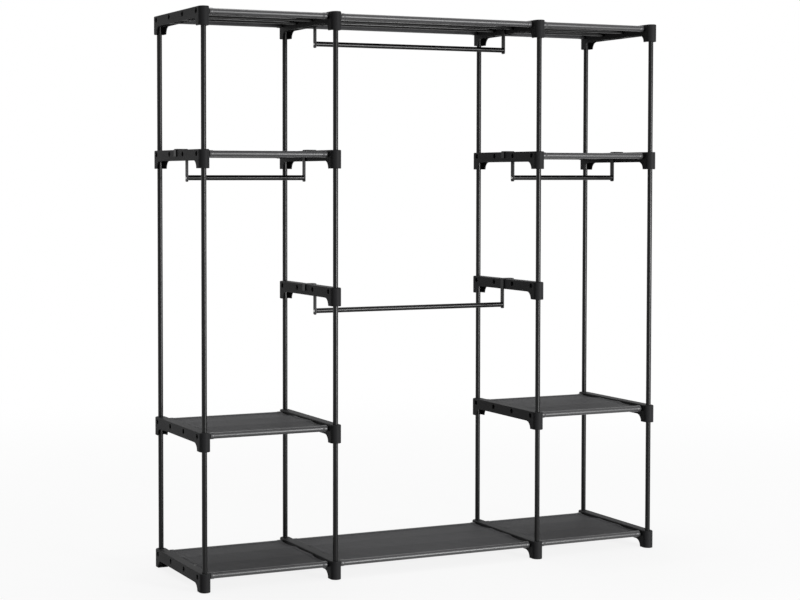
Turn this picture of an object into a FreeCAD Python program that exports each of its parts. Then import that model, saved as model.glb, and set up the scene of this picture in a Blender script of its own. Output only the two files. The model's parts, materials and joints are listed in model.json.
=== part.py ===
import FreeCAD, Part
import math
import os

# Open frame wardrobe: tube posts in four columns, moulded connectors, shelf rods with cloth shelves,
# and hanging rails on strap hooks. Millimetres. X runs left to right, Y front to back, Z up from the floor.

# Grid of the frame
side_bay_spacing = 429.0        # post axis to post axis across a side bay
centre_bay_spacing = 720.0      # post axis to post axis across the centre bay
post_depth_spacing = 392.0      # front post axis to back post axis
level_pitch = 420.75            # underside of one connector to the underside of the next

# Steel tubes
post_diameter = 16.0
post_wall = 0.7
rod_diameter = 16.0             # shelf rods
rod_wall = 0.6
rail_diameter = 16.0            # hanging rails
rail_wall = 0.8
rail_end_wall = 5.0             # closed, tapped end of a hanging rail
rods_per_shelf = 4

# Moulded connectors
connector_width = 34.0          # across X, also the diameter of the bosses
connector_height = 57.0
connector_wall = 3.0            # top plate, cheeks and socket barrels
rib_thickness = 2.0             # web down the middle of the hollow underside
boss_flat = 1.0                 # straight stretch behind a boss before the arch begins
top_round = 3.0
bottom_round = 1.5
post_stop = 5.0                 # solid between the upper and lower post sockets
post_hold = 9.0                 # closed stretch of a lower post socket, above the open leg
rod_stop = 6.0                  # solid between the left and right rod sockets
socket_web = 1.3                # wall between a post socket and its nearest rod socket
socket_cover = 5.0              # wall above a rod socket
socket_floor = 11.8             # beam left below a rod socket
socket_clearance = 0.1          # radial play of a tube in its socket

# Cloth shelves
cloth_thickness = 1.0
cloth_clearance = 0.3           # cloth to the rods that carry it
cloth_hook_gap = 2.7            # cloth edge to the strap of a hook

# Strap hooks and their screws
strap_width = 19.0
strap_thickness = 3.0
strap_round = 4.0               # outside bend over the connector
hook_clearance = 0.3            # strap to the connector's flank
lip_length = 20.0               # short leg on the far flank
rail_hang = 28.0                # connector underside down to the rail's axis
strap_tail = 12.5               # strap below the rail's axis
strap_tail_round = 6.0          # corners of the strap's lower end
rail_end_gap = 0.3              # rail end to strap
screw_diameter = 4.8
screw_thread_play = 0.05        # radial, in the rail's tapped end
screw_hole_play = 0.08          # radial, in the strap
screw_head_diameter = 9.0
screw_head_height = 2.8
screw_head_round = 1.6
screw_head_gap = 0.2            # head to strap
screw_tip = 2.0                 # past the rail's end wall
recess_width = 1.2
recess_depth = 1.4
recess_length_share = 0.6       # of the head's diameter

overrun = 1.0                   # how far a cut passes the face that it opens
level_share = 1e-6              # of an edge's length, the slope allowed in a level edge
quarter_middle_share = math.sqrt(0.5)   # of a quarter circle's radius, at its middle

# Places worked out from the sizes above
post_y = post_depth_spacing / 2
post_radius = post_diameter / 2
rod_radius = rod_diameter / 2
rail_radius = rail_diameter / 2
post_socket_radius = post_radius + socket_clearance
rod_socket_radius = rod_radius + socket_clearance
rod_socket_depth = (connector_width - rod_stop) / 2
half_width = connector_width / 2
rod_axis_height = connector_height - socket_cover - rod_socket_radius
beam_underside = rod_axis_height - rod_socket_radius - socket_floor
lower_socket_depth = beam_underside + post_hold
upper_socket_depth = connector_height - post_stop - lower_socket_depth
arch_half_span = post_y - half_width - boss_flat
outer_rod_y = post_y - post_socket_radius - socket_web - rod_socket_radius
rod_spacing = 2 * outer_rod_y / (rods_per_shelf - 1)
rod_places = [rod_spacing * step - outer_rod_y for step in range(rods_per_shelf)]
cloth_side_gap = hook_clearance + strap_thickness + cloth_hook_gap
inner_column_x = centre_bay_spacing / 2
outer_column_x = inner_column_x + side_bay_spacing

level_names = ("foot", "lower", "middle", "upper", "top")
level_height = {name: level_pitch * step for step, name in enumerate(level_names)}
outer_levels = ("foot", "lower", "upper", "top")
columns = {
    "left_outer": (-outer_column_x, outer_levels),
    "left_inner": (-inner_column_x, level_names),
    "right_inner": (inner_column_x, level_names),
    "right_outer": (outer_column_x, outer_levels),
}
bays = {
    "left": ("left_outer", "left_inner", outer_levels),
    "centre": ("left_inner", "right_inner", ("foot", "top")),
    "right": ("right_inner", "right_outer", outer_levels),
}
rails = {
    "left_rail": ("left", "upper"),
    "right_rail": ("right", "upper"),
    "centre_top_rail": ("centre", "top"),
    "centre_middle_rail": ("centre", "middle"),
}

x_axis = FreeCAD.Vector(1, 0, 0)
z_axis = FreeCAD.Vector(0, 0, 1)
origin = FreeCAD.Vector(0, 0, 0)


def block(low, high):
    size = [top - bottom for bottom, top in zip(low, high)]
    return Part.makeBox(*size, FreeCAD.Vector(*low))


def edges_at_height(shape, height):
    flat = []
    for edge in shape.Edges:
        box = edge.BoundBox
        error = max(abs(box.ZMin - height), abs(box.ZMax - height))
        if error < edge.Length * level_share:
            flat.append(edge)
    return flat


def tube(radius, wall, start, end, axis):
    base = axis * start
    length = end - start
    outside = Part.makeCylinder(radius, length, base, axis)
    return outside.cut(Part.makeCylinder(radius - wall, length, base, axis))


# Connectors

def boss_prism():
    left = FreeCAD.Vector(-half_width, -post_y, 0)
    right = FreeCAD.Vector(half_width, -post_y, 0)
    front = FreeCAD.Vector(0, -post_y - half_width, 0)
    far_left = FreeCAD.Vector(-half_width, post_y, 0)
    far_right = FreeCAD.Vector(half_width, post_y, 0)
    back = FreeCAD.Vector(0, post_y + half_width, 0)
    outline = Part.Wire([
        Part.Arc(left, front, right).toShape(),
        Part.LineSegment(right, far_right).toShape(),
        Part.Arc(far_right, back, far_left).toShape(),
        Part.LineSegment(far_left, left).toShape(),
    ])
    prism = Part.Face(outline).extrude(z_axis * connector_height)
    prism = prism.makeFillet(top_round, edges_at_height(prism, connector_height))
    return prism.makeFillet(bottom_round, edges_at_height(prism, 0))


def arch_cut():
    start_x = -half_width - overrun
    corner = beam_underside
    bow = corner * quarter_middle_share
    flat_end = arch_half_span - corner

    def at(y, z):
        return FreeCAD.Vector(start_x, y, z)

    low_front = at(-arch_half_span, -overrun)
    front = at(-arch_half_span, 0)
    flat_front = at(-flat_end, corner)
    flat_back = at(flat_end, corner)
    back = at(arch_half_span, 0)
    low_back = at(arch_half_span, -overrun)
    outline = Part.Wire([
        Part.LineSegment(low_front, front).toShape(),
        Part.Arc(front, at(-flat_end - bow, bow), flat_front).toShape(),
        Part.LineSegment(flat_front, flat_back).toShape(),
        Part.Arc(flat_back, at(flat_end + bow, bow), back).toShape(),
        Part.LineSegment(back, low_back).toShape(),
        Part.LineSegment(low_back, low_front).toShape(),
    ])
    return Part.Face(outline).extrude(x_axis * (connector_width + 2 * overrun))


def underside_pockets():
    barrel = rod_socket_radius + connector_wall
    inner = rib_thickness / 2
    outer = half_width - connector_wall
    roof = connector_height - connector_wall
    pockets = []
    for near, far in zip(rod_places, rod_places[1:]):
        pockets.append(block((inner, near + barrel, -overrun), (outer, far - barrel, roof)))
        pockets.append(block((-outer, near + barrel, -overrun), (-inner, far - barrel, roof)))
    return pockets


def rod_sockets():
    sockets = []
    for y in rod_places:
        for side in (-1, 1):
            mouth = FreeCAD.Vector(side * (half_width + overrun), y, rod_axis_height)
            depth = rod_socket_depth + overrun
            sockets.append(Part.makeCylinder(rod_socket_radius, depth, mouth, x_axis * -side))
    return sockets


def post_sockets(open_below, open_above):
    sockets = []
    for y in (-post_y, post_y):
        if open_below:
            mouth = FreeCAD.Vector(0, y, -overrun)
            depth = lower_socket_depth + overrun
            sockets.append(Part.makeCylinder(post_socket_radius, depth, mouth, z_axis))
        if open_above:
            floor = FreeCAD.Vector(0, y, connector_height - upper_socket_depth)
            depth = upper_socket_depth + overrun
            sockets.append(Part.makeCylinder(post_socket_radius, depth, floor, z_axis))
    return sockets


def leg_recesses(open_below):
    # The legs are shells: open towards the arch from the post's axis inwards, so the post shows in them
    inside = half_width - connector_wall
    inner_end = arch_half_span - beam_underside
    floor = -overrun if open_below else connector_wall
    return [
        block((-inside, -post_y, floor), (inside, -inner_end, beam_underside)),
        block((-inside, inner_end, floor), (inside, post_y, beam_underside)),
    ]


def connector(level):
    open_below = level != "foot"
    open_above = level != "top"
    body = boss_prism().cut(arch_cut())
    cuts = underside_pockets() + rod_sockets() + leg_recesses(open_below)
    cuts += post_sockets(open_below, open_above)
    for cut in cuts:
        body = body.cut(cut)
    return body


# Tubes

def post(column_levels):
    tubes = []
    for below, above in zip(column_levels, column_levels[1:]):
        start = level_height[below] + connector_height - upper_socket_depth
        end = level_height[above] + lower_socket_depth
        tubes.append(tube(post_radius, post_wall, start, end, z_axis))
    return Part.makeCompound(tubes)


def shelf_rods(left_x, right_x):
    start = left_x + half_width - rod_socket_depth
    end = right_x - half_width + rod_socket_depth
    rods = []
    for y in rod_places:
        rod = tube(rod_radius, rod_wall, start, end, x_axis)
        rods.append(rod.translated(FreeCAD.Vector(0, y, rod_axis_height)))
    return Part.makeCompound(rods)


# Cloth shelves

def shelf_cloth(left_x, right_x):
    start = left_x + half_width + cloth_side_gap
    end = right_x - half_width - cloth_side_gap
    inside = rod_radius + cloth_clearance
    outside = inside + cloth_thickness
    cloth = block((start, -outer_rod_y, inside), (end, outer_rod_y, outside))
    for y in (-outer_rod_y, outer_rod_y):
        base = FreeCAD.Vector(start, y, 0)
        cloth = cloth.fuse(Part.makeCylinder(outside, end - start, base, x_axis))
    for y in (-outer_rod_y, outer_rod_y):
        base = FreeCAD.Vector(start, y, 0)
        cloth = cloth.cut(Part.makeCylinder(inside, end - start, base, x_axis))
    return cloth.removeSplitter().translated(z_axis * rod_axis_height)


# Hooks, rails and screws. A hook is drawn at a connector whose bay lies to its right.

def hook():
    near = half_width + hook_clearance
    far = near + strap_thickness
    half_strap = strap_width / 2
    crown = connector_height + strap_thickness
    saddle = block((-far, -half_strap, connector_height - lip_length), (far, half_strap, crown))
    crown_edges = edges_at_height(saddle, crown)
    bends = [edge for edge in crown_edges if edge.BoundBox.XLength < edge.BoundBox.YLength]
    saddle = saddle.makeFillet(strap_round, bends)
    saddle = saddle.cut(block(
        (-near, -half_strap - overrun, connector_height - lip_length - overrun),
        (near, half_strap + overrun, connector_height),
    ))
    strap_end = -rail_hang - strap_tail
    strap = block((near, -half_strap, strap_end), (far, half_strap, connector_height))
    end_edges = edges_at_height(strap, strap_end)
    corners = [edge for edge in end_edges if edge.BoundBox.XLength > edge.BoundBox.YLength]
    strap = strap.makeFillet(strap_tail_round, corners)
    hole_start = FreeCAD.Vector(near - overrun, 0, -rail_hang)
    hole_radius = screw_diameter / 2 + screw_hole_play
    hole = Part.makeCylinder(hole_radius, strap_thickness + 2 * overrun, hole_start, x_axis)
    return saddle.fuse(strap).removeSplitter().cut(hole)


def rail_start():
    return half_width + hook_clearance + strap_thickness + rail_end_gap


def hanging_rail(left_x, right_x):
    start = left_x + rail_start()
    end = right_x - rail_start()
    length = end - start
    bore_start = x_axis * (start + rail_end_wall)
    bore_length = length - 2 * rail_end_wall
    tapped_radius = screw_diameter / 2 + screw_thread_play
    rail = Part.makeCylinder(rail_radius, length, x_axis * start, x_axis)
    rail = rail.cut(Part.makeCylinder(rail_radius - rail_wall, bore_length, bore_start, x_axis))
    rail = rail.cut(Part.makeCylinder(tapped_radius, length, x_axis * start, x_axis))
    return rail.translated(z_axis * -rail_hang)


def screw():
    seat = half_width + hook_clearance - screw_head_gap
    top = seat - screw_head_height
    head_radius = screw_head_diameter / 2
    head = Part.makeCylinder(head_radius, screw_head_height, x_axis * top, x_axis)
    rim = [edge for edge in head.Edges if edge.BoundBox.XMax < seat - screw_head_height / 2]
    head = head.makeFillet(screw_head_round, rim)
    length = rail_start() + rail_end_wall + screw_tip - seat
    shank = Part.makeCylinder(screw_diameter / 2, length, x_axis * seat, x_axis)
    reach = head_radius * recess_length_share
    half_slot = recess_width / 2
    floor = top + recess_depth
    body = head.fuse(shank)
    for across_y, across_z in ((reach, half_slot), (half_slot, reach)):
        slot = block((top - overrun, -across_y, -across_z), (floor, across_y, across_z))
        body = body.cut(slot)
    return body.translated(z_axis * -rail_hang)


def at_both_ends(shape, left_x, right_x):
    mirrored = shape.mirror(origin, x_axis)
    return Part.makeCompound([shape.translated(x_axis * left_x), mirrored.translated(x_axis * right_x)])


# The whole assembly, node by node

def column_nodes():
    nodes = {}
    for column, (x, levels) in columns.items():
        for level in levels:
            place = FreeCAD.Vector(x, 0, level_height[level])
            nodes[column + "_" + level + "_connector"] = connector(level).translated(place)
        for side, y in (("front", -post_y), ("back", post_y)):
            nodes[column + "_" + side + "_post"] = post(levels).translated(FreeCAD.Vector(x, y, 0))
    return nodes


def shelf_nodes():
    nodes = {}
    for bay, (left, right, levels) in bays.items():
        left_x = columns[left][0]
        right_x = columns[right][0]
        for level in levels:
            lift = z_axis * level_height[level]
            nodes[bay + "_" + level + "_shelf_rods"] = shelf_rods(left_x, right_x).translated(lift)
            nodes[bay + "_" + level + "_shelf_cloth"] = shelf_cloth(left_x, right_x).translated(lift)
    return nodes


def rail_nodes():
    nodes = {}
    for rail, (bay, level) in rails.items():
        left_x = columns[bays[bay][0]][0]
        right_x = columns[bays[bay][1]][0]
        lift = z_axis * level_height[level]
        nodes[rail + "_hooks"] = at_both_ends(hook(), left_x, right_x).translated(lift)
        nodes[rail + "_tube"] = hanging_rail(left_x, right_x).translated(lift)
        nodes[rail + "_screws"] = at_both_ends(screw(), left_x, right_x).translated(lift)
    return nodes


os.makedirs("parts", exist_ok=True)
for nodes in (column_nodes(), shelf_nodes(), rail_nodes()):
    for name, shape in nodes.items():
        shape.exportStep("parts/" + name + ".step")
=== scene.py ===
import json
import math
import random

import bmesh
import bpy
from mathutils import Euler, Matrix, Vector


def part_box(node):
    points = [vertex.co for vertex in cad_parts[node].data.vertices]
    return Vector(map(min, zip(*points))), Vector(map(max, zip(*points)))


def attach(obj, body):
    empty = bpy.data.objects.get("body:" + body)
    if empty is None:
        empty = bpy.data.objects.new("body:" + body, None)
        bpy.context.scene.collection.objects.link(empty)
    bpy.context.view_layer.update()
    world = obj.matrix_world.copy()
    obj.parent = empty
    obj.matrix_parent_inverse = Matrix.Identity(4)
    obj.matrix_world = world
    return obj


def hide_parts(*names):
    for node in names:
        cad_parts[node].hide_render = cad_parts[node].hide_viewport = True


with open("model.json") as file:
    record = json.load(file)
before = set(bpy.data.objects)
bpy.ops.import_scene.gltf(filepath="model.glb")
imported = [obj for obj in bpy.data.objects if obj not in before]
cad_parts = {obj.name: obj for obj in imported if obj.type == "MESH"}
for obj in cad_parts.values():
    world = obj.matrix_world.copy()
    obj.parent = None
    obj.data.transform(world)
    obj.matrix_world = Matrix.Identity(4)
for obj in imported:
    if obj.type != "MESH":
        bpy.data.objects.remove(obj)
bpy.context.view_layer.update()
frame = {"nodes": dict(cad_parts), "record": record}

scene = bpy.context.scene
scene.view_settings.view_transform = "Standard"
mm = 0.001


# Shader maths

class Wire:                                   # a node's output that takes part in sums
    def __init__(self, tree, socket):
        self.tree = tree
        self.socket = socket

    def node(self, kind, settings=None, inputs=None):
        made = self.tree.nodes.new("ShaderNode" + kind)
        for key, value in (settings or {}).items():
            setattr(made, key, value)
        for key, value in (inputs or {}).items():
            if isinstance(value, Wire):
                self.tree.links.new(value.socket, made.inputs[key])
            else:
                made.inputs[key].default_value = value
        shown = [out for out in made.outputs if out.enabled]
        return Wire(self.tree, shown[0] if shown else None)

    def out(self, name):                      # another output of the same node
        return Wire(self.tree, self.socket.node.outputs[name])

    def maths(self, operation, *values):
        return self.node("Math", {"operation": operation}, dict(enumerate(values)))

    def __add__(self, other):
        return self.maths("ADD", self, other)

    def __sub__(self, other):
        return self.maths("SUBTRACT", self, other)

    def __rsub__(self, other):
        return self.maths("SUBTRACT", other, self)

    def __mul__(self, other):
        return self.maths("MULTIPLY", self, other)

    def __truediv__(self, other):
        return self.maths("DIVIDE", self, other)

    def __pow__(self, other):
        return self.maths("POWER", self, other)

    __radd__ = __add__
    __rmul__ = __mul__

    def step(self, low, high):                # 0 below low, 1 above high, smooth between
        inputs = {"Value": self, "From Min": low, "From Max": high}
        return self.node("MapRange", {"interpolation_type": "SMOOTHSTEP"}, inputs)

    def centred(self):                        # from 0 to 1, moved to lie about 0
        return self - 0.5

    def shared(self, other, share):           # a share of this value, and the rest of the other
        return self * share + other * (1 - share)

    def mixed(self, dark, light):             # two colours, mixed by this value
        ends = [end if isinstance(end, Wire) else (*end, 1.0) for end in (dark, light)]
        inputs = {0: self, 6: ends[0], 7: ends[1]}    # sockets of the factor and of two colours
        return self.node("Mix", {"data_type": "RGBA"}, inputs).out("Result")


def noise(at, scale, detail=2.0, rough=0.5):
    inputs = {"Vector": at, "Scale": scale, "Detail": detail, "Roughness": rough}
    return at.node("TexNoise", None, inputs)


def stretched(at, scale):                     # coordinates scaled unevenly, for streaks
    return at.node("Mapping", None, {"Vector": at, "Scale": scale})


def bumped(height, distance):
    return height.node("Bump", None, {"Height": height, "Distance": distance})


def startFinish(name, coordinates="Object"):
    made = bpy.data.materials.new(name)
    made.use_nodes = True
    tree = made.node_tree
    tree.nodes.clear()
    at = Wire(tree, None).node("TexCoord").out(coordinates)
    return made, at


def endFinish(made, at, inputs):
    shader = at.node("BsdfPrincipled", None, inputs)
    at.node("OutputMaterial", None, {"Surface": shader})
    return made


# Finishes. A noise is given as scale, detail and roughness, a stretch as the scale on each axis,
# and edges as the two ends of a smooth step.

tubePaint = {
    "dark": (0.0015, 0.0015, 0.0016),
    "light": (0.0030, 0.0030, 0.0032),
    "gloss": 0.21,
    "rough": 0.30,
    "cloud": (9.0, 4.0),
    "cloudRough": 0.06,
    "cloudShare": 0.7,                        # of the tone, with the grain as the rest
    "peel": (420.0, 1.0),
    "peelDepth": 0.006 * mm,
    "grain": (2600.0, 2.0, 0.7),
    "grainDepth": 0.0012 * mm,
    "scuffs": (1.0, 6.0, 0.65),
    "scuffStretch": (60.0, 60.0, 7.0),
    "scuffEdges": (0.60, 0.78),
    "scuffRough": 0.06,
}
strapPaint = dict(
    tubePaint,
    dark=(0.004, 0.004, 0.0042),
    light=(0.007, 0.007, 0.0074),
    gloss=0.13,
    rough=0.36,
)


def powderCoat(name, paint):                  # fine grain over orange peel, with a few scuffs
    made, at = startFinish(name)
    cloudy = noise(at, *paint["cloud"])
    peel = noise(at, *paint["peel"])
    grain = noise(at, *paint["grain"])
    scuffs = noise(stretched(at, paint["scuffStretch"]), *paint["scuffs"]).step(*paint["scuffEdges"])
    rough = paint["rough"] + cloudy.centred() * paint["cloudRough"] + scuffs * paint["scuffRough"]
    relief = peel * (paint["peelDepth"] / mm) + grain * (paint["grainDepth"] / mm)
    shade = cloudy.shared(grain, paint["cloudShare"]).mixed(paint["dark"], paint["light"])
    return endFinish(made, at, {
        "Base Color": shade,
        "Roughness": rough,
        "Normal": bumped(relief, mm),
        "Specular IOR Level": paint["gloss"],
    })


mouldingPlastic = {
    "dark": (0.015, 0.015, 0.0157),
    "light": (0.024, 0.024, 0.0251),
    "gloss": 0.05,
    "rough": 0.52,
    "spark": 1500.0,                          # pits to a metre
    "sparkDepth": 0.015 * mm,
    "sparkShare": 0.6,                        # of the relief, with the fine grain as the rest
    "fine": (3000.0, 3.0, 0.6),
    "flow": (14.0, 4.0, 0.55),
    "flowStretch": (1.0, 0.35, 1.6),
    "flowRough": 0.16,
    "flowShare": 0.75,                        # of the tone, with the fine grain as the rest
    "rubbed": (160.0, 5.0, 0.6),
    "rubbedEdges": (0.58, 0.80),
    "rubbedPolish": 0.07,                     # roughness that rubbing takes off
}


def mouldedPlastic(name, plastic):            # spark-eroded grain with faint flow marks
    made, at = startFinish(name)
    spark = at.node("TexVoronoi", {"feature": "SMOOTH_F1"}, {"Vector": at, "Scale": plastic["spark"]})
    fine = noise(at, *plastic["fine"])
    flow = noise(stretched(at, plastic["flowStretch"]), *plastic["flow"])
    rubbed = noise(at, *plastic["rubbed"]).step(*plastic["rubbedEdges"])
    rough = plastic["rough"] + flow.centred() * plastic["flowRough"] - rubbed * plastic["rubbedPolish"]
    relief = spark.shared(fine, plastic["sparkShare"])
    shade = flow.shared(fine, plastic["flowShare"]).mixed(plastic["dark"], plastic["light"])
    return endFinish(made, at, {
        "Base Color": shade,
        "Roughness": rough,
        "Normal": bumped(relief, plastic["sparkDepth"]),
        "Specular IOR Level": plastic["gloss"],
    })


feltCloth = {
    "dark": (0.047, 0.047, 0.0489),
    "light": (0.066, 0.066, 0.0686),
    "toneEdges": (0.25, 0.75),
    "gloss": 0.06,
    "rough": 0.66,
    "fibres": (1.0, 4.0, 0.7),
    "fibreStretch": (900.0, 2600.0, 1.0),
    "crossed": (1.0, 3.0, 0.7),
    "crossedStretch": (2400.0, 1100.0, 1.0),
    "fibreShare": 0.55,                       # of the laid fibres, with the crossed ones as the rest
    "laidDepth": 0.025 * mm,
    "laidRough": 0.25,
    "laidShare": 0.30,                        # of the tone
    "streaks": (1.0, 3.0, 0.55),
    "streakStretch": (2.5, 95.0, 1.0),
    "streakShare": 0.45,
    "patches": (26.0, 3.0, 0.5),
    "patchShare": 0.25,
    "bond": (0.038, 0.038, 0.0395),
    "bondShow": 0.7,                          # how far a bond takes its own colour
    "bondAlong": 2.2 * mm,                    # from bond to bond in a row
    "bondAcross": 1.5 * mm,                   # from row to row
    "bondStagger": 0.5,                       # every other row moved on, in pitches
    "bondWide": 0.27,                         # half sizes, in pitches
    "bondLong": 0.304,
    "bondEdges": (0.55, 1.35),
    "bondDepth": 0.06 * mm,
    "bondRough": 0.50,
    "drawn": (0.034, 0.034, 0.0354),          # painted shade, darker than the flat cloth, where the cloth is drawn round a rod
    "drawnEven": 0.9,                         # its mask, an even part
    "drawnLaid": 0.2,                         # and a part that follows the fibres
    "drawnTone": 0.6,                         # how far the painted shade darkens, evenly
    "drawnStreak": 0.8,                       # and by the streaks
    "drawnCoat": 0.9,
    "drawnCoatRough": 0.38,
}


def nonWoven(name, cloth):                    # laid fibres, spot bonded in staggered rows
    made, at = startFinish(name, "UV")
    place = at.node("SeparateXYZ", None, {"Vector": at})
    along = place.out("X") / cloth["bondAlong"]
    across = place.out("Y") / cloth["bondAcross"]
    row = across.maths("FLOOR", across)
    shifted = along + row.maths("MODULO", row, 2.0) * cloth["bondStagger"]
    aside = shifted.maths("FRACT", shifted).centred()
    ahead = across.maths("FRACT", across).centred()
    reach = (aside / cloth["bondWide"]) ** 2.0 + (ahead / cloth["bondLong"]) ** 2.0
    bond = 1 - reach.step(*cloth["bondEdges"])
    fibres = noise(stretched(at, cloth["fibreStretch"]), *cloth["fibres"])
    crossed = noise(stretched(at, cloth["crossedStretch"]), *cloth["crossed"])
    laid = fibres.shared(crossed, cloth["fibreShare"])
    streaks = noise(stretched(at, cloth["streakStretch"]), *cloth["streaks"])
    patches = noise(at, *cloth["patches"])
    tone = streaks * cloth["streakShare"] + patches * cloth["patchShare"] + laid * cloth["laidShare"]
    ground = tone.step(*cloth["toneEdges"]).mixed(cloth["dark"], cloth["light"])
    felt = (bond * cloth["bondShow"]).mixed(ground, cloth["bond"])
    tunnel = at.node("Attribute", {"attribute_name": "tunnel"}).out("Fac")
    tight = tunnel * (cloth["drawnEven"] + laid * cloth["drawnLaid"])
    # painted shade: the hems round the rods take a darker colour, while the coat gives them their gloss
    paintedHemShade = tight * (cloth["drawnTone"] + streaks * cloth["drawnStreak"])
    bondPolish = cloth["rough"] - cloth["bondRough"]
    rough = cloth["rough"] + laid.centred() * cloth["laidRough"] - bond * bondPolish
    relief = laid * (cloth["laidDepth"] / mm) - bond * (cloth["bondDepth"] / mm)
    return endFinish(made, at, {
        "Base Color": paintedHemShade.mixed(felt, cloth["drawn"]),
        "Roughness": rough,
        "Normal": bumped(relief, mm),
        "Specular IOR Level": cloth["gloss"],
        "Coat Weight": tight * cloth["drawnCoat"],
        "Coat Roughness": cloth["drawnCoatRough"],
    })


sewingThread = {
    "dark": (0.010, 0.010, 0.0104),
    "light": (0.026, 0.026, 0.0268),
    "gloss": 0.12,
    "rough": 0.48,
    "twist": (5200.0, 2.0),
    "twistStretch": (1.0, 1.0, 0.5),
    "twistRough": 0.2,
    "twistDepth": 0.08 * mm,
}


def spunThread(name, thread):
    made, at = startFinish(name)
    twist = noise(stretched(at, thread["twistStretch"]), *thread["twist"])
    return endFinish(made, at, {
        "Base Color": twist.mixed(thread["dark"], thread["light"]),
        "Roughness": thread["rough"] + twist * thread["twistRough"],
        "Normal": bumped(twist, thread["twistDepth"]),
        "Specular IOR Level": thread["gloss"],
    })


zincPlate = {
    "cool": (0.60, 0.62, 0.65),
    "warm": (0.68, 0.66, 0.61),
    "tint": (240.0, 3.0),
    "rough": 0.24,
    "scratches": (1.0, 3.0, 0.6),
    "scratchStretch": (900.0, 9000.0, 2200.0),
    "scratchRough": 0.16,
    "scratchDepth": 0.02 * mm,
}


def platedZinc(name, plate):
    made, at = startFinish(name)
    tint = noise(at, *plate["tint"])
    scratches = noise(stretched(at, plate["scratchStretch"]), *plate["scratches"])
    return endFinish(made, at, {
        "Base Color": tint.mixed(plate["cool"], plate["warm"]),
        "Metallic": 1.0,
        "Roughness": plate["rough"] + scratches * plate["scratchRough"],
        "Normal": bumped(scratches, plate["scratchDepth"]),
    })


finishes = {
    "tube_coat": powderCoat("satinBlackTube", tubePaint),
    "hook_coat": powderCoat("satinBlackStrap", strapPaint),
    "moulding": mouldedPlastic("grainedBlackPlastic", mouldingPlastic),
    "cloth": nonWoven("blackNonWoven", feltCloth),
    "zinc": platedZinc("zincPlate", zincPlate),
}
threadFinish = spunThread("blackThread", sewingThread)
slotOf = {part["node"]: part["material_slot"] for part in frame["record"]["subparts"]}
for name, piece in frame["nodes"].items():
    piece.data.materials.clear()
    piece.data.materials.append(finishes[slotOf[name]])
print("finishes on the frame:", ", ".join(finishes))


# Cloth shelves, shaped from their flat cuts

shelfCloth = {
    "thick": 0.9 * mm,
    "tunnelGap": 0.3 * mm,        # rod to cloth
    "seamBack": 12.5 * mm,        # seam behind the rod's axis
    "seamDrop": 3.2 * mm,         # seam below the sheet's height over the rods
    "allowance": 13.0 * mm,       # tucked under, past the seam
    "tuckDrop": 1.6,              # allowance below the sheet, in thicknesses
    "sag": 0.8 * mm,              # between rods
    "edgeSag": 2.4 * mm,          # further sag at the side edges, by the front and back rods
    "middleSag": 0.6 * mm,        # and between the two middle rods
    "edgeReach": 70.0 * mm,       # how far in from the edge the further sag goes
    "ripple": 0.45 * mm,
    "rippleFull": 0.5,            # share of the sag at which the ripple is full
    "waveCount": 6,
    "waveAcross": (5, 17),        # waves to a metre, least and most
    "waveAlong": (3, 15),
    "waveSize": (0.4, 1.0),
    "waveTurn": 6.28,             # radians to a wave
    "sideHem": 11.0 * mm,
    "hemRise": 1.05 * mm,
    "hemRamp": 3.0 * mm,          # width over which the sheet comes down past the hem
    "fold": 0.7 * mm,
    "rows": (3, 3, 22, 4, 26),    # on the allowance, up to the rod, round it, to the seam, to the middle
    "columnStep": 9.0 * mm,
    "hemColumns": (4.0 * mm, 3.0 * mm, 2.0 * mm, 1.0 * mm, 0.0),    # in from the hem
    "foldColumns": (-1.0, -0.5, 0.0, 0.5, 1.0),                     # across the fold, in fold sizes
}


def facing(angle):                            # direction from a rod's axis, back and up
    return Vector((math.cos(angle), math.sin(angle)))


def drawWaves(draw):                          # a sheet's own ripples
    waves = []
    for _ in range(shelfCloth["waveCount"]):
        across = draw.uniform(*shelfCloth["waveAcross"])
        along = draw.uniform(*shelfCloth["waveAlong"])
        start = draw.uniform(0, shelfCloth["waveTurn"])
        size = draw.uniform(*shelfCloth["waveSize"])
        waves.append((across, along, start, size))
    return waves


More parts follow.
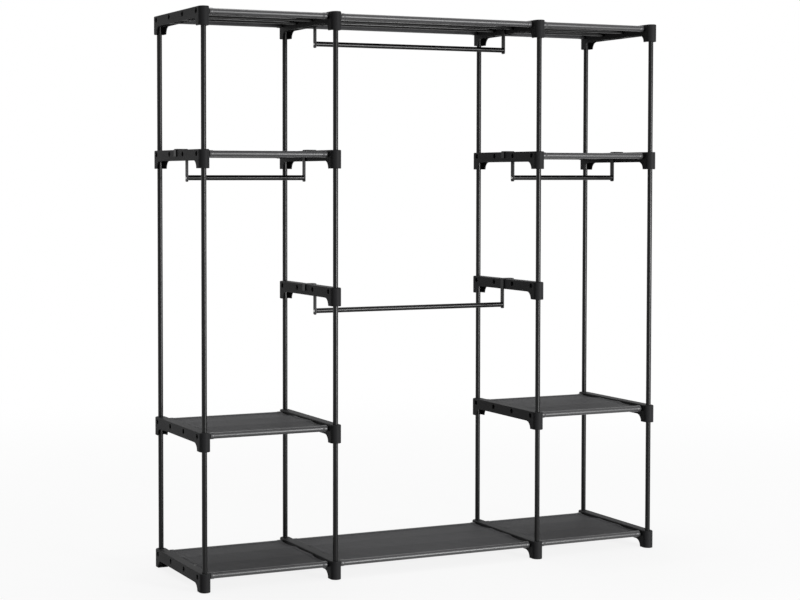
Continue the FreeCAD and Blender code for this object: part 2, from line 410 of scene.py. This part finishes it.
class ShelfShape:                             # carries a point of the flat cut to its place on the rods
    def __init__(self, clothBox, rodsBox, seed):
        low, high = clothBox
        self.rod = (rodsBox[1].z - rodsBox[0].z) / 2
        self.axisZ = (rodsBox[0].z + rodsBox[1].z) / 2
        self.rodY = rodsBox[1].y - self.rod
        self.innerRodY = self.rodY / 3           # four rods, evenly spaced
        self.midX = (low.x + high.x) / 2
        self.half = (high.x - low.x) / 2
        self.tuck = shelfCloth["thick"] * shelfCloth["tuckDrop"]
        self.round = self.rod + shelfCloth["tunnelGap"] + shelfCloth["thick"] / 2
        self.seam = Vector((shelfCloth["seamBack"], self.round - shelfCloth["seamDrop"]))
        lean = math.atan2(self.seam.y, self.seam.x)
        spread = math.acos(self.round / self.seam.length)
        self.over = lean + spread                # where the cloth leaves the rod's top
        self.under = lean - spread               # where it comes off the rod's underside
        tangent = math.sqrt(self.seam.length_squared - self.round ** 2)
        wrap = (2 * math.pi - 2 * spread) * self.round
        span = self.rodY - self.seam.x
        self.stops = [0.0]
        for length in (shelfCloth["allowance"], tangent, wrap, tangent, span):
            self.stops.append(self.stops[-1] + length)
        self.flatLong = 2 * self.stops[-1]
        self.flatWide = 2 * (self.half + shelfCloth["sideHem"])
        self.waves = drawWaves(random.Random(seed))

    def sheetHeight(self, x, y):                 # how far the sheet stands off its line at y
        gap = abs(y) - self.innerRodY
        if gap < 0:
            reach = 1 - (y / self.innerRodY) ** 2
            loose = shelfCloth["middleSag"]
        else:
            share = min(1.0, gap / (self.rodY - self.seam.x - self.innerRodY))
            reach = 4 * share * (1 - share)
            loose = shelfCloth["edgeSag"]
        edge = max(0.0, 1 - (self.half - abs(x)) / shelfCloth["edgeReach"])
        drop = (shelfCloth["sag"] + loose * edge * edge) * reach
        turn = shelfCloth["waveTurn"]
        wave = 0.0
        for across, along, start, size in self.waves:
            wave += size * math.sin(across * x * turn + along * y * turn + start)
        ripple = wave / len(self.waves) * shelfCloth["ripple"]
        return ripple * min(1.0, reach / shelfCloth["rippleFull"]) - drop

    def profile(self, v, x):                     # flat length to (y, z) and the way that the face looks
        tuckEnd, rodStart, rodEnd, sheetStart, middle = self.stops[1:]
        side = 1 if v > middle else -1
        v = min(v, self.flatLong - v)
        if v < tuckEnd:                          # allowance under the sheet
            y = self.seam.x + tuckEnd - v
            rise = shelfCloth["seamDrop"] * (y - self.seam.x) / (self.rodY - self.seam.x)
            place = Vector((y, self.seam.y + rise - self.tuck))
            look = Vector((0.0, -1.0))
        elif v < rodStart:                       # from the seam to the rod's underside
            share = (v - tuckEnd) / (rodStart - tuckEnd)
            look = facing(self.under)
            place = self.seam.lerp(look * self.round, share)
            place.y -= self.tuck * (1 - share)
        elif v < rodEnd:                         # round the rod
            look = facing(self.under - (v - rodStart) / self.round)
            place = look * self.round
        elif v < sheetStart:                     # from the rod's top to the seam
            look = facing(self.over)
            place = (look * self.round).lerp(self.seam, (v - rodEnd) / (sheetStart - rodEnd))
        else:                                    # sheet over the rods
            y = self.seam.x + v - sheetStart
            fromMiddle = self.rodY - y
            climb = min(1.0, (y - self.seam.x) / (self.rodY - self.innerRodY - self.seam.x))
            place = Vector((y, self.seam.y + shelfCloth["seamDrop"] * climb))
            place.y += self.sheetHeight(x, fromMiddle * side)
            look = Vector((0.0, 1.0))
        return (place.x - self.rodY) * -side, self.axisZ + place.y, Vector((0.0, look.x * -side, look.y))

    def tightness(self, v):                      # 1 where the cloth is drawn round a rod
        v = min(v, self.flatLong - v)
        return 1.0 if self.stops[2] <= v <= self.stops[3] else 0.0

    def point(self, u, v, lift=0.0):             # flat cut to the shelf, lift off the face
        past = abs(u) - self.half
        sign = 1 if u > 0 else -1
        fold = shelfCloth["fold"]
        rise = shelfCloth["hemRise"]
        if past > -fold:                         # round the fold and back under the sheet
            turn = min(1.0, (past + fold) / (2 * fold))
            x = self.half - fold + fold * math.sin(turn * math.pi)
            x -= max(0.0, past - fold)
            height = rise * (1 + math.cos(turn * math.pi)) / 2
        else:
            x = abs(u)
            ramp = (past + shelfCloth["sideHem"] + shelfCloth["hemRamp"]) / shelfCloth["hemRamp"]
            ramp = min(1.0, max(0.0, ramp))
            height = rise * ramp * ramp * (3 - 2 * ramp)
        y, z, look = self.profile(v, x * sign)
        return Vector((self.midX + x * sign, y, z)) + look * (height + lift)

    def rows(self):                              # flat lengths of the rows, closer round the rods
        marks = []
        for start, end, count in zip(self.stops, self.stops[1:], shelfCloth["rows"]):
            marks += [start + (end - start) * k / count for k in range(count)]
        return marks + [self.stops[-1]] + [self.flatLong - mark for mark in reversed(marks)]

    def columns(self):                           # flat widths of the columns, closer at the folded side hems
        hem = shelfCloth["sideHem"]
        hemEdge = self.half - hem
        plain = hemEdge - shelfCloth["hemColumns"][0]
        count = math.ceil(plain / shelfCloth["columnStep"])
        marks = [plain * k / count for k in range(count)]
        marks += [hemEdge - step for step in shelfCloth["hemColumns"]]
        marks += [self.half - hem / 2]
        marks += [self.half + shelfCloth["fold"] * step for step in shelfCloth["foldColumns"]]
        marks += [self.half + hem / 2, self.half + hem]
        return [-mark for mark in reversed(marks[1:])] + marks


def newPiece(name, work, finish):
    mesh = bpy.data.meshes.new(name)
    work.to_mesh(mesh)
    work.free()
    for face in mesh.polygons:
        face.use_smooth = True
    mesh.materials.append(finish)
    piece = bpy.data.objects.new(name, mesh)
    scene.collection.objects.link(piece)
    return piece


def sewnCloth(name, shape):
    rows = shape.rows()
    columns = shape.columns()
    lastRow = len(rows) - 1
    lastColumn = len(columns) - 1
    work = bmesh.new()
    bmesh.ops.create_grid(work, x_segments=lastColumn, y_segments=lastRow, size=0.5, calc_uvs=True)
    uv = work.loops.layers.uv.verify()
    tunnel = work.verts.layers.float.new("tunnel")
    flat = {}
    for vert in work.verts:                      # the grid goes from -0.5 to 0.5
        u = columns[round((vert.co.x + 0.5) * lastColumn)]
        v = rows[round((vert.co.y + 0.5) * lastRow)]
        flat[vert] = (u, v)
        vert.co = shape.point(u, v)
        vert[tunnel] = shape.tightness(v)
    for face in work.faces:
        for corner in face.loops:
            corner[uv].uv = flat[corner.vert]
    piece = newPiece(name, work, finishes["cloth"])
    wall = piece.modifiers.new("thickness", "SOLIDIFY")
    wall.thickness = shelfCloth["thick"]
    wall.offset = 0.0
    return piece


sewing = {
    "pitch": 4.6 * mm,
    "thread": 0.26 * mm,          # half its thickness
    "roundness": 1,               # of the thread, as a bevel resolution
    "lifts": (                    # share of a stitch, and height off the cloth
        (0.05, -0.1 * mm),
        (0.16, 0.44 * mm),
        (0.5, 0.56 * mm),
        (0.84, 0.44 * mm),
        (0.95, -0.1 * mm),
    ),
    "fromEdge": 8.0 * mm,
    "behindSeam": 2.2 * mm,
}


def threadRun(curve, shape, start, end):         # over and under, from one flat point to another
    run = Vector(end) - Vector(start)
    count = int(run.length / sewing["pitch"])
    spline = curve.splines.new("POLY")
    spline.points.add(count * len(sewing["lifts"]) - 1)
    spline.use_smooth = True
    for k, point in enumerate(spline.points):
        stitch, step = divmod(k, len(sewing["lifts"]))
        share, lift = sewing["lifts"][step]
        u, v = Vector(start) + run * (stitch + share) / count
        point.co = (*shape.point(u, v, lift), 1.0)


def sewnThread(name, shape):
    curve = bpy.data.curves.new(name, "CURVE")
    curve.dimensions = "3D"
    curve.bevel_depth = sewing["thread"]
    curve.bevel_resolution = sewing["roundness"]
    curve.materials.append(threadFinish)
    edge = shape.half - sewing["fromEdge"]
    front = shape.stops[4] + sewing["behindSeam"]
    back = shape.flatLong - front
    for v in (front, back):
        threadRun(curve, shape, (-edge, v), (edge, v))
    for u in (-edge, edge):
        threadRun(curve, shape, (u, front), (u, back))
    piece = bpy.data.objects.new(name, curve)
    scene.collection.objects.link(piece)
    return piece


shelfNames = sorted(name[:-len("_cloth")] for name in frame["nodes"] if name.endswith("_shelf_cloth"))
for seed, shelf in enumerate(shelfNames):
    node = shelf + "_cloth"
    rods = shelf + "_rods"
    shape = ShelfShape(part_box(node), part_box(rods), seed)
    cloth = sewnCloth(shelf + "_sewn_cloth", shape)
    thread = sewnThread(shelf + "_thread", shape)
    for piece in (cloth, thread):
        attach(piece, "frame")
    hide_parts(node)
print("cloth shelves sewn:", len(shelfNames))


# Studio

studio = {
    "white": (1.0, 1.0, 1.0, 1.0),
    "ambient": 0.30,
    "floorSize": 60.0,
    "floorShade": (0.90, 0.90, 0.90),
    "floorBounce": (0.22, 0.22, 0.22),    # the floor's shade in matt bounces
    "floorMottle": (3.0, 3.0),
    "mottleShare": 0.01,
    "floorWhite": 0.86,                   # how white the floor is under the object
    "floorReach": 0.9,                    # it whitens from here
    "floorFade": 4.5,                     # and is all white from here
}
lamps = {
    "frontBox": {"from": (2.07, -4.66, 0.82), "to": (0.0, 0.0, 0.8), "size": (1.3, 1.5), "power": 290.0},
    "topBox": {"from": (0.0, 1.6, 7.0), "to": (0.0, 0.0, 0.8), "size": (4.5, 4.5), "power": 230.0},
}


def seenDirectly(at):                            # 1 for the eye, and in gloss and glass
    path = at.node("LightPath").out("Is Camera Ray")
    both = path.maths("MAXIMUM", path, path.out("Is Glossy Ray"))
    return both.maths("MAXIMUM", both, path.out("Is Transmission Ray"))


def paleFloor():
    work = bmesh.new()
    bmesh.ops.create_grid(work, x_segments=1, y_segments=1, size=studio["floorSize"])
    made, at = startFinish("paleFloor")
    seen = seenDirectly(at)
    mottle = (1 - studio["mottleShare"]) + noise(at, *studio["floorMottle"]) * studio["mottleShare"]
    shade = (seen * mottle).mixed(studio["floorBounce"], studio["floorShade"])
    matt = at.node("BsdfDiffuse", None, {"Color": shade})
    glow = at.node("Emission", None, {"Color": studio["white"], "Strength": 1.0})
    far = at.node("VectorMath", {"operation": "LENGTH"}, {0: at}).out("Value")
    away = far.step(studio["floorReach"], studio["floorFade"])
    fade = (studio["floorWhite"] + away * (1 - studio["floorWhite"])) * seen
    surface = at.node("MixShader", None, {0: fade, 1: matt, 2: glow})
    at.node("OutputMaterial", None, {"Surface": surface})
    floor = newPiece("floor", work, made)


def paleWorld():
    world = bpy.data.worlds.new("studio")
    world.use_nodes = True
    scene.world = world
    world.node_tree.nodes.clear()
    at = Wire(world.node_tree, None)
    strength = studio["ambient"] + seenDirectly(at) * (1.0 - studio["ambient"])
    back = at.node("Background", None, {"Color": studio["white"], "Strength": strength})
    at.node("OutputWorld", None, {"Surface": back})


def softBox(name, lamp):
    data = bpy.data.lights.new(name, "AREA")
    data.shape = "RECTANGLE"
    data.size, data.size_y = lamp["size"]
    data.energy = lamp["power"]
    box = bpy.data.objects.new(name, data)
    box.location = lamp["from"]
    aim = Vector(lamp["to"]) - Vector(lamp["from"])
    box.rotation_euler = aim.to_track_quat("-Z", "Y").to_euler()
    scene.collection.objects.link(box)


paleFloor()
paleWorld()
for name, lamp in lamps.items():
    softBox(name, lamp)
print("studio set:", ", ".join(lamps))


# Camera, as the photograph was taken

eye = {
    "at": (-2.6469, -5.1368, 1.2362),
    "yaw": 24.337,                        # degrees to the right
    "down": 2.213,
    "focalPixels": 1782.6,
    "imageWide": 800.0,
    "principal": (-80.0, -54.0),          # pixels from the middle of the image
    "sensor": 36.0,
    "seesTo": 200.0,
}


def photoCamera():
    data = bpy.data.cameras.new("photoCamera")
    data.sensor_width = eye["sensor"]
    data.lens = eye["focalPixels"] / eye["imageWide"] * eye["sensor"]
    data.shift_x = -eye["principal"][0] / eye["imageWide"]
    data.shift_y = eye["principal"][1] / eye["imageWide"]
    data.clip_end = eye["seesTo"]
    camera = bpy.data.objects.new("photoCamera", data)
    camera.location = eye["at"]
    camera.rotation_euler = Euler((math.radians(90.0 - eye["down"]), 0.0, math.radians(-eye["yaw"])))
    scene.collection.objects.link(camera)
    scene.camera = camera


photoCamera()
print("camera placed")
